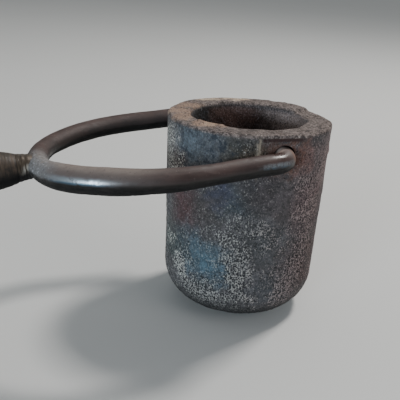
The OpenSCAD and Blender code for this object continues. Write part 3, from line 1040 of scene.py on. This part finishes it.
def fork_material():
    s = Shader("forged_rod", roughness=0.36, specular=0.5)
    f = rod_fields(s)
    # Painted light and shade: the oxide colour on faces turned up, a near-black colour on faces turned
    # down.
    shaded_rod_colour = s.mix(s.step(f.broad, 0.35, 0.65), (0.026, 0.021, 0.02), (0.04, 0.028, 0.026))
    painted_top_light = s.number(f.in_front, s.step(s.up, 0.3, 0.95), s.step(s.up, -0.15, 0.75))
    colour = s.mix(painted_top_light, shaded_rod_colour, oxide_colour(s, f))

    # Painted light on the front pin, rust at its end, worn grey metal at the crotch, painted shade
    # below, a painted highlight band
    # Painted light: the front pin lightened where it sits in the hole's shade.
    colour = s.over(colour, (0.19, 0.15, 0.138), fork_spot(s, 0.5, -38.5, 3.5, 7.0, 0.6), 0.7)
    colour = s.over(colour, (0.5, 0.39, 0.34), fork_spot(s, 3.8, -37.0, 3.2, 4.6, 0.7), 0.85)
    rusting = s.product(fork_spot(s, -3.5, -39.5, 0.0, 6.0, 0.5), s.step(f.fine, 0.3, 0.55))
    colour = s.over(colour, (0.19, 0.105, 0.075), rusting, 0.85)
    patchy = s.step(s.noise(0.35, 5.0, 0.65), 0.26, 0.5)
    worn = s.product(fork_spot(s, CROTCH_U / MM - 1, -8.0, 0.0, 20.0, 0.7), patchy)
    colour = torched(s, colour, worn)
    # Painted shade: faces turned down coloured near black.
    under = underside(s, 0.18, -0.22)
    underside_shade = s.mix(s.step(f.streaks, 0.4, 0.62), (0.002, 0.002, 0.002), (0.01, 0.009, 0.009))
    colour = s.over(colour, underside_shade, under, 0.97)
    # Painted highlight: pale grey where the band faces up, a painted blue reflection below it, made
    # metallic.
    painted_highlight = s.product(painted_highlight_place(s, f), s.number(rusting, 1.0, 0.0))
    highlight_colour = s.mix(s.step(s.up, 0.00, 0.24), (0.06, 0.13, 0.19), (0.38, 0.42, 0.45))
    colour = s.over(colour, highlight_colour, painted_highlight, 0.9)

    # Smoother at the elbow and under the painted highlight, rougher on the back arm and in the painted
    # shade below
    at_back = s.product(s.step(f.in_front, 1.0, 0.0), 0.14)
    at_elbow = s.product(fork_spot(s, 5.5, -43.0, 4.0, 6.0, 0.7), -0.3)
    uneven = s.product(s.step(f.fine, 0.35, 0.65), 0.1)
    roughness = s.total(s.number(painted_top_light, 0.3, 0.52), at_back, at_elbow, uneven)
    in_underside_shade = s.product(underside(s, -0.1, -0.5), 0.45)
    roughness = s.math("ADD", roughness, in_underside_shade, clamp=True)
    roughness = s.number(s.product(painted_highlight, 0.8), roughness, 0.26)
    roughness = s.number(s.product(rusting, 0.8), roughness, 0.75)
    normal = s.bump(s.noise(1.6), 0.06 * MM, 0.5)
    normal = s.bump(s.product(worn, s.noise(1.1, 3.0, 0.6)), 0.35 * MM, 0.9, normal)
    metal = s.larger(s.product(painted_highlight, 0.85), s.product(under, 0.45))
    return s.finish(colour, roughness, normal, metal)


def braze_material():
    s = Shader("brazing_metal", roughness=0.48, metallic=0.3)
    streaks = s.noise(1.0, 3.0, 0.6, along_handle(s, 0.55, 5.0))
    blotches = s.noise(0.5)
    colour = s.mix(s.step(streaks, 0.35, 0.65), (0.034, 0.025, 0.018), (0.085, 0.062, 0.042))
    drips = s.product(fork_spot(s, 101.3, -5.2, -1.2, 4.2, 0.6), s.step(streaks, 0.42, 0.52))
    colour = s.over(colour, (0.5, 0.46, 0.4), drips, 0.95)
    colour = s.over(colour, (0.1, 0.085, 0.07), s.step(blotches, 0.58, 0.7), 0.5)
    # Painted shade: the underside darkened to near black.
    under = underside(s, 0.25, -0.35)
    colour = s.over(colour, SOOT_AND_SHADE, under, 0.95)
    roughness = s.math("ADD", s.number(blotches, 0.38, 0.6), s.product(under, 0.4), clamp=True)
    normal = s.bump(streaks, 0.15 * MM, 0.6)
    return s.finish(colour, roughness, normal, s.number(under, 0.3, 0.6))


def ferrule_material():
    s = Shader("browned_ferrule", roughness=0.5, metallic=0.2)
    streaks = s.noise(1.0, 4.0, 0.65, along_handle(s, 0.8, 7.0))
    rings = s.noise(1.0, 2.0, 0.5, along_handle(s, 0.35, 30.0))
    blotches = s.noise(0.22)
    colour = s.mix(s.step(streaks, 0.38, 0.64), (0.028, 0.022, 0.017), (0.076, 0.052, 0.036))
    colour = s.over(colour, (0.085, 0.06, 0.04), s.step(rings, 0.55, 0.7), 0.45)
    colour = s.over(colour, (0.012, 0.011, 0.011), s.step(blotches, 0.52, 0.68), 0.7)
    # Painted shade: the underside darkened to near black.
    under = underside(s, 0.35, -0.35)
    colour = s.over(colour, SOOT_AND_SHADE, under, 0.95)
    roughness = s.math("ADD", s.number(streaks, 0.46, 0.66), s.product(under, 0.4), clamp=True)
    normal = s.bump(rings, 0.04 * MM, 0.6)
    normal = s.bump(s.noise(1.3), 0.1 * MM, 0.5, normal)
    return s.finish(colour, roughness, normal, s.number(under, 0.2, 0.6))


def wood_material():
    s = Shader("oiled_hardwood", roughness=0.45, specular=0.45)
    bands = s.noise(1.0, 3.0, 0.5, along_handle(s, 55.0, 4.5), 0.6)
    rings = s.math("SINE", s.product(bands, 42.0))
    fibres = s.noise(2.1, 5.0, 0.7, along_handle(s, 16.0, 1.0))
    pores = s.step(s.noise(1.0, 2.0, 0.5, along_handle(s, 9.0, 0.55)), 0.6, 0.72)
    colour = s.mix(s.step(rings, -0.9, 0.9), (0.2, 0.09, 0.04), (0.34, 0.175, 0.085))
    colour = s.mix(s.step(fibres, 0.35, 0.7), s.mix(0.5, colour, (0.12, 0.052, 0.024)), colour)
    colour = s.over(colour, (0.055, 0.026, 0.014), pores, 0.7)
    local = s.parts(along_handle(s, 1.0, 1.0))[0]
    start = FERRULE_END / MM
    scorched = s.step(s.total(local, s.product(fibres, 6.0)), start + 13.0, start + 2.0)
    colour = s.over(colour, (0.03, 0.02, 0.015), scorched, 0.85)
    grime = s.step(s.noise(0.07), 0.45, 0.7)
    colour = s.over(colour, (0.075, 0.045, 0.03), grime, 0.45)
    for distance, _, _ in GRIP_GROOVES:
        gap = s.math("ABSOLUTE", s.math("SUBTRACT", local, start + distance))
        colour = s.over(colour, (0.022, 0.014, 0.01), s.step(gap, 0.9, 0.3), 0.85)
    normal = s.bump(fibres, 0.1 * MM, 0.5)
    normal = s.bump(pores, -0.12 * MM, 0.8, normal)
    return s.finish(colour, s.number(grime, 0.38, 0.6), normal)


def rivet_material():
    s = Shader("hammered_steel", roughness=0.42, metallic=0.8)
    marks = s.noise(0.8, 4.0, 0.65)
    stains = s.noise(0.3)
    colour = s.mix(s.step(marks, 0.35, 0.65), (0.16, 0.15, 0.14), (0.38, 0.365, 0.345))
    colour = s.over(colour, (0.16, 0.075, 0.045), s.step(stains, 0.52, 0.64), 0.75)
    normal = s.bump(marks, 0.25 * MM, 0.7)
    return s.finish(colour, s.number(stains, 0.32, 0.65), normal)


# ---- Assembly ----

def fit_piece(piece, material, body, slot, *nodes):
    """Gives a piece its material and its body and hides the CAD nodes that it stands for; the slot is
    not used.
    """
    piece.data.materials.clear()
    piece.data.materials.append(material)
    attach(piece, body)
    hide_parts(*nodes)


def build_object():
    rivet = rivet_material()
    fit_piece(make_pot(), pot_material(), "pot", "pot_iron", "pot")
    fit_piece(make_fork(), fork_material(), "handle", "fork_rod", "yoke")
    fit_piece(make_braze(), braze_material(), "handle", "braze", "braze_fillet")
    fit_piece(make_ferrule(), ferrule_material(), "handle", "ferrule_steel", "ferrule")
    fit_piece(make_grip(), wood_material(), "handle", "grip_wood", "grip")
    fit_piece(make_burr(), rivet, "handle", "burr_steel", "burr")
    fit_piece(make_tang(), rivet, "handle", "tang_steel", "tang")


# ---- Camera, floor and light ----

def make_camera():
    data = bpy.data.cameras.new("camera")
    data.sensor_width = 36.0
    data.lens = 57.2
    data.clip_start = 0.01
    camera = linked("camera", data)
    heading, pitch, roll = radians(21.99), radians(20.97), radians(3.67)
    turn = (Matrix.Rotation(-heading, 4, "Z") @ Matrix.Rotation(pi / 2 - pitch, 4, "X")
            @ Matrix.Rotation(roll, 4, "Z"))
    camera.matrix_world = Matrix.Translation((-0.1277, -0.2612, 0.1598)) @ turn
    bpy.context.scene.camera = camera


def make_floor():
    mesh = bpy.data.meshes.new("floor")
    work = bmesh.new()
    bmesh.ops.create_grid(work, x_segments=8, y_segments=8, size=6.0)
    work.to_mesh(mesh)
    work.free()
    floor = linked("floor", mesh)
    s = Shader("pale_floor", roughness=0.6, specular=0.3)
    cloud = s.noise(3.0, 3.0, 0.5, s.place)
    floor.data.materials.append(s.finish(s.mix(cloud, (0.68, 0.69, 0.68), (0.72, 0.73, 0.72))))


def area_light(name, place, target, size, power, colour):
    data = bpy.data.lights.new(name, "AREA")
    data.shape = "RECTANGLE"
    data.size, data.size_y = size
    data.energy = power
    data.color = colour
    light = linked(name, data)
    light.location = place
    aim = Vector(target) - Vector(place)
    light.rotation_euler = aim.to_track_quat("-Z", "Y").to_euler()
    light.visible_camera = False
    return light


def make_world():
    """A soft pale studio: bright behind the object, dim above and in front of it."""
    world = bpy.data.worlds.new("studio")
    world.use_nodes = True
    s = Nodes(world.node_tree)
    direction = s.node("ShaderNodeTexCoord").outputs["Generated"]
    behind = s.step(s.vector("DOT_PRODUCT", direction, (0.3, 0.92, 0.25)), -0.35, 0.75)
    background = s.tree.nodes["Background"]
    s.feed(background.inputs["Color"], s.mix(behind, (0.19, 0.2, 0.21), (0.66, 0.68, 0.68)))
    background.inputs["Strength"].default_value = 0.65
    bpy.context.scene.world = world


def make_lights():
    middle = (0.0, 0.0, 0.05)
    area_light("ceiling", (0.65, 0.25, 1.15), middle, (0.2, 0.2), 13.0, (1.0, 0.96, 0.92))
    area_light("window", (-1.14, -0.86, 0.2), middle, (0.45, 0.24), 13.0, (0.74, 0.88, 1.0))
    fill = area_light("fill", (0.9, -1.2, 0.9), middle, (1.0, 1.0), 4.0, (1.0, 0.95, 0.92))
    fill.visible_glossy = False


make_camera()
build_object()
make_floor()
make_world()
make_lights()
